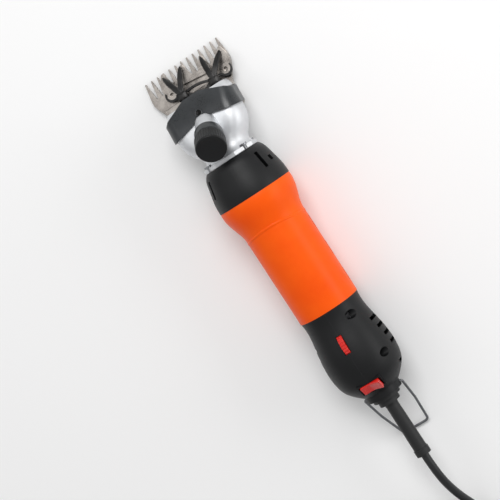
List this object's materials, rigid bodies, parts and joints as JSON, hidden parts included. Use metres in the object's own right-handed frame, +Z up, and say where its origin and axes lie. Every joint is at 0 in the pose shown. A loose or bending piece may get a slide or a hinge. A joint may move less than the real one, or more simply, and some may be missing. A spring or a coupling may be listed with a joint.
{
  "type": "sheep shears",
  "caption": "Electric sheep shearing handpiece with a wide comb and cutter head, tension knob, round motor grip, rocker switch, speed dial, hanging bail and a coiled mains lead with plug.",
  "frame": {"origin": "bottom centre of the shears' bounding box without the free cord, on the surface it rests on", "axes": "+Y along the grip towards the comb tips, +X to the shears' right side, +Z up through the knob and switch"},
  "size_m": [0.1223, 0.569, 0.0803],
  "materials": {
    "polished_steel": "polished",
    "dark_steel": "blackened, oiled",
    "machined_steel": "machined",
    "bail_wire": "zinc plated",
    "cast_aluminium": "satin",
    "brass": "plain",
    "laminated_steel": "varnished",
    "copper": "enamelled",
    "carbon": "matt",
    "orange_abs": "satin gloss",
    "black_plastic": "fine textured",
    "red_plastic": "gloss",
    "circuit_board": "varnished",
    "black_rubber": "matt",
    "pin_metal": "nickel plated"
  },
  "bodies": {
    "housing": {"comb": "polished_steel", "comb_screws": "machined_steel", "fulcrum_post": "machined_steel", "tension_pin": "machined_steel", "flange_screws": "machined_steel", "crank_bearing_front": "machined_steel", "crank_bearing_rear": "machined_steel", "front_bearing": "machined_steel", "rear_bearing": "machined_steel", "tail_screws": "machined_steel", "brush_springs": "machined_steel", "gear_head": "cast_aluminium", "tension_sleeve": "brass", "brush_holders": "brass", "stator_core": "laminated_steel", "field_coils": "copper", "carbon_brushes": "carbon", "motor_housing": "orange_abs", "head_cover": "black_plastic", "collar": "black_plastic", "tail_shell_left": "black_plastic", "tail_shell_right": "black_plastic", "switch_body": "black_plastic", "cable_clamp": "black_plastic", "coil_tie": "black_plastic", "capacitor": "black_plastic", "speed_control_board": "circuit_board", "grommet": "black_rubber", "cord_sleeve": "black_rubber", "cord": "black_rubber", "cord_tail": "black_rubber", "cord_coil": "black_rubber", "plug_body": "black_rubber", "plug_pins": "pin_metal"},
    "rotor": {"rotor_shaft": "machined_steel", "pinion": "machined_steel", "armature_core": "laminated_steel", "armature_winding": "copper", "commutator": "copper", "fan": "black_plastic"},
    "crank": {"crankshaft": "machined_steel", "crank_gear": "machined_steel", "crank_roller": "machined_steel"},
    "fork_assembly": {"fork": "dark_steel", "fork_claw_left": "dark_steel", "fork_claw_right": "dark_steel", "cutter": "polished_steel"},
    "tension_nut": {"tension_knob": "black_plastic"},
    "rocker": {"switch_rocker": "red_plastic"},
    "dial": {"speed_dial": "red_plastic"},
    "bail": {"hanging_bail": "bail_wire"}
  },
  "joints": [
    {"name": "rotor_spin", "type": "hinge", "parent": "housing", "child": "rotor", "pos_m": [0, 0.02, 0.0332], "axis": [0, 1, 0], "continuous": true},
    {"name": "crank_spin", "type": "hinge", "parent": "housing", "child": "crank", "pos_m": [0, 0.092, 0.0204], "axis": [0, 1, 0], "continuous": true},
    {"name": "fork_swing", "type": "hinge", "parent": "housing", "child": "fork_assembly", "pos_m": [0, 0.12557, 0.01919], "axis": [0, 0.1908, 0.9816], "range_deg": [0, 15]},
    {"name": "tension_turn", "type": "hinge", "parent": "housing", "child": "tension_nut", "pos_m": [0, 0.1266, 0.0527], "axis": [0, -0.5, 0.866], "continuous": true},
    {"name": "power_rocker", "type": "hinge", "parent": "housing", "child": "rocker", "pos_m": [0, -0.11464, 0.05665], "axis": [0, 0.766, 0.6428], "range_deg": [0, 16]},
    {"name": "speed_turn", "type": "hinge", "parent": "housing", "child": "dial", "pos_m": [0, -0.0764, 0.0516], "axis": [1, 0, 0], "range_deg": [0, 270]},
    {"name": "bail_swing", "type": "hinge", "parent": "housing", "child": "bail", "pos_m": [0, -0.1274, 0.0332], "axis": [1, 0, 0], "range_deg": [-24, 56]}
  ],
  "couplings": [
    {"joint": "crank_spin", "follows": "rotor_spin", "ratio": -0.45454}
  ]
}
